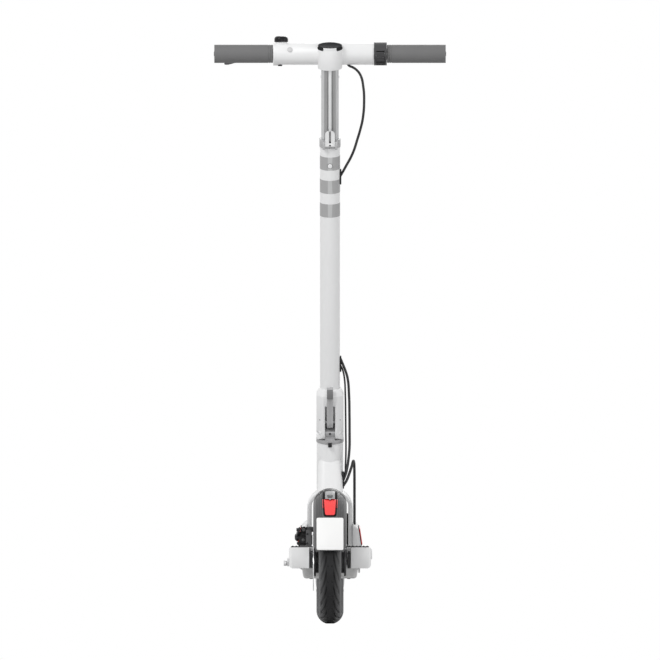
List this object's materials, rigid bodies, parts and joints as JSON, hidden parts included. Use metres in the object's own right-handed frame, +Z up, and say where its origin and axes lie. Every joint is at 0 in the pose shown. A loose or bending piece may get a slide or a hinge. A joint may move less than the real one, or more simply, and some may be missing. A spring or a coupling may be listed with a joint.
{
  "type": "electric kick scooter",
  "caption": "Folding electric kick scooter: low deck, hub-motor front wheel, rear disc brake, telescopic stem and a straight handlebar with throttle, bell and display.",
  "frame": {"origin": "centre of the bounding box on the ground between the wheels", "axes": "+Y forward, +X to the rider's right, +Z up"},
  "size_m": [0.446, 1.0996, 1.1278],
  "materials": {
    "white_paint": "satin white powder coat",
    "white_plastic": "smooth white",
    "dark_plastic": "fine grain",
    "black_plastic": "gloss",
    "mat_rubber": "ribbed",
    "grip_rubber": "matt",
    "seal_rubber": "matt",
    "tyre": "treaded",
    "grey_metal": "satin anodised",
    "bare_aluminium": "brushed anodised",
    "steel": "machined",
    "grey_band": "film",
    "red_lens": "clear red lens",
    "cell_pack": "shrink wrap",
    "copper": "varnished windings",
    "brake_lining": "sintered"
  },
  "bodies": {
    "deck": {"deck_frame": "white_paint", "neck": "white_paint", "deck_mat": "mat_rubber", "battery": "cell_pack", "controller": "grey_metal", "belly_cover": "grey_metal", "rear_dropouts": "grey_metal", "rear_axle": "steel", "rear_fender": "dark_plastic", "fender_catch": "grey_metal", "tail_light": "red_lens", "tail_plate": "white_plastic", "caliper_body": "grey_metal", "kickstand_bracket": "white_plastic", "charge_socket": "seal_rubber", "headset_cups": "steel", "neck_grommet": "seal_rubber"},
    "steering": {"fork": "white_paint", "fork_covers": "white_plastic", "reflectors": "red_lens", "front_mudguard": "black_plastic", "front_axle": "steel", "motor_stator": "copper", "fold_base": "grey_metal", "fold_pin": "steel", "fold_bumper": "seal_rubber", "stem_cables": "seal_rubber", "motor_cable": "seal_rubber"},
    "front_wheel": {"front_hub": "grey_metal", "front_tyre": "tyre", "front_bearings": "steel"},
    "rear_wheel": {"rear_hub": "grey_metal", "rear_tyre": "tyre", "brake_disc": "steel", "rear_bearings": "steel"},
    "stem": {"fold_block": "white_paint", "main_tube": "white_paint", "stem_bands": "grey_band", "stem_grommets": "seal_rubber", "stem_bolt": "white_plastic", "collar": "grey_metal", "bar_cable": "seal_rubber"},
    "fold_lever": {"fold_lever": "grey_metal"},
    "qr_lever": {"qr_lever": "white_plastic"},
    "handlebar": {"upper_tube": "bare_aluminium", "head_casting": "white_paint", "display": "black_plastic", "bar_tube": "bare_aluminium", "grips": "grip_rubber", "throttle_housing": "dark_plastic", "bell_base": "black_plastic", "headlight": "black_plastic"},
    "throttle_lever": {"throttle_lever": "dark_plastic"},
    "bell_cap": {"bell_cap": "black_plastic"},
    "mode_button": {"mode_button": "grey_metal"},
    "brake_lever": {"brake_lever": "grey_metal"},
    "caliper_arm": {"caliper_arm": "grey_metal"},
    "brake_pad": {"brake_pad": "brake_lining"},
    "kickstand": {"kickstand": "grey_metal"},
    "charge_cap": {"charge_cap": "seal_rubber"}
  },
  "joints": [
    {"name": "steer", "type": "hinge", "parent": "deck", "child": "steering", "pos_m": [0, 0.38004, 0.31118], "axis": [0, -0.2588, 0.9659], "range_deg": [-45, 45], "deforming": ["stem_cables", "motor_cable"]},
    {"name": "front_spin", "type": "hinge", "parent": "steering", "child": "front_wheel", "pos_m": [0, 0.4318, 0.118], "axis": [1, 0, 0], "continuous": true},
    {"name": "rear_spin", "type": "hinge", "parent": "deck", "child": "rear_wheel", "pos_m": [0, -0.4082, 0.118], "axis": [1, 0, 0], "continuous": true},
    {"name": "fold", "type": "hinge", "parent": "steering", "child": "stem", "pos_m": [0, 0.35164, 0.36694], "axis": [1, 0, 0], "range_deg": [0, 80], "deforming": ["stem_cables"]},
    {"name": "fold_lever_swing", "type": "hinge", "parent": "stem", "child": "fold_lever", "pos_m": [0, 0.33996, 0.38733], "axis": [1, 0, 0], "range_deg": [0, 70]},
    {"name": "qr_lever_swing", "type": "hinge", "parent": "stem", "child": "qr_lever", "pos_m": [0, 0.19263, 0.91785], "axis": [1, 0, 0], "range_deg": [0, 100]},
    {"name": "bar_slide", "type": "slide", "parent": "stem", "child": "handlebar", "axis": [0, -0.2588, 0.9659], "range_m": [-0.115, 0], "deforming": ["bar_cable"]},
    {"name": "throttle_press", "type": "hinge", "parent": "handlebar", "child": "throttle_lever", "pos_m": [0.096, 0.19101, 1.09393], "axis": [1, 0, 0], "range_deg": [0, 32], "stiffness_Nm_per_rad": 0.3},
    {"name": "bell_press", "type": "slide", "parent": "handlebar", "child": "bell_cap", "axis": [0, 0, -1], "range_m": [0, 0.0015], "stiffness_N_per_m": 800},
    {"name": "mode_press", "type": "slide", "parent": "handlebar", "child": "mode_button", "axis": [0, 0.9245, -0.3811], "range_m": [0, 0.0012], "stiffness_N_per_m": 800},
    {"name": "brake_squeeze", "type": "hinge", "parent": "handlebar", "child": "brake_lever", "pos_m": [-0.1, 0.22248, 1.08849], "axis": [0, -0.2588, 0.9659], "range_deg": [0, 12], "stiffness_Nm_per_rad": 3},
    {"name": "caliper_pull", "type": "hinge", "parent": "deck", "child": "caliper_arm", "pos_m": [-0.062, -0.4002, 0.166], "axis": [-1, 0, 0], "range_deg": [0, 20.5]},
    {"name": "pad_push", "type": "slide", "parent": "deck", "child": "brake_pad", "axis": [1, 0, 0], "range_m": [0, 0.00076]},
    {"name": "kickstand_swing", "type": "hinge", "parent": "deck", "child": "kickstand", "pos_m": [-0.08572, 0.0398, 0.116], "axis": [1, 0, 0], "range_deg": [0, 75]},
    {"name": "charge_cap_flap", "type": "hinge", "parent": "deck", "child": "charge_cap", "pos_m": [0.0799, -0.1082, 0.1335], "axis": [0, 0, 1], "range_deg": [0, 100]}
  ],
  "couplings": [
    {"joint": "caliper_pull", "follows": "brake_squeeze", "ratio": 1.6667},
    {"joint": "pad_push", "follows": "brake_squeeze", "m_per_rad": 0.00358}
  ]
}
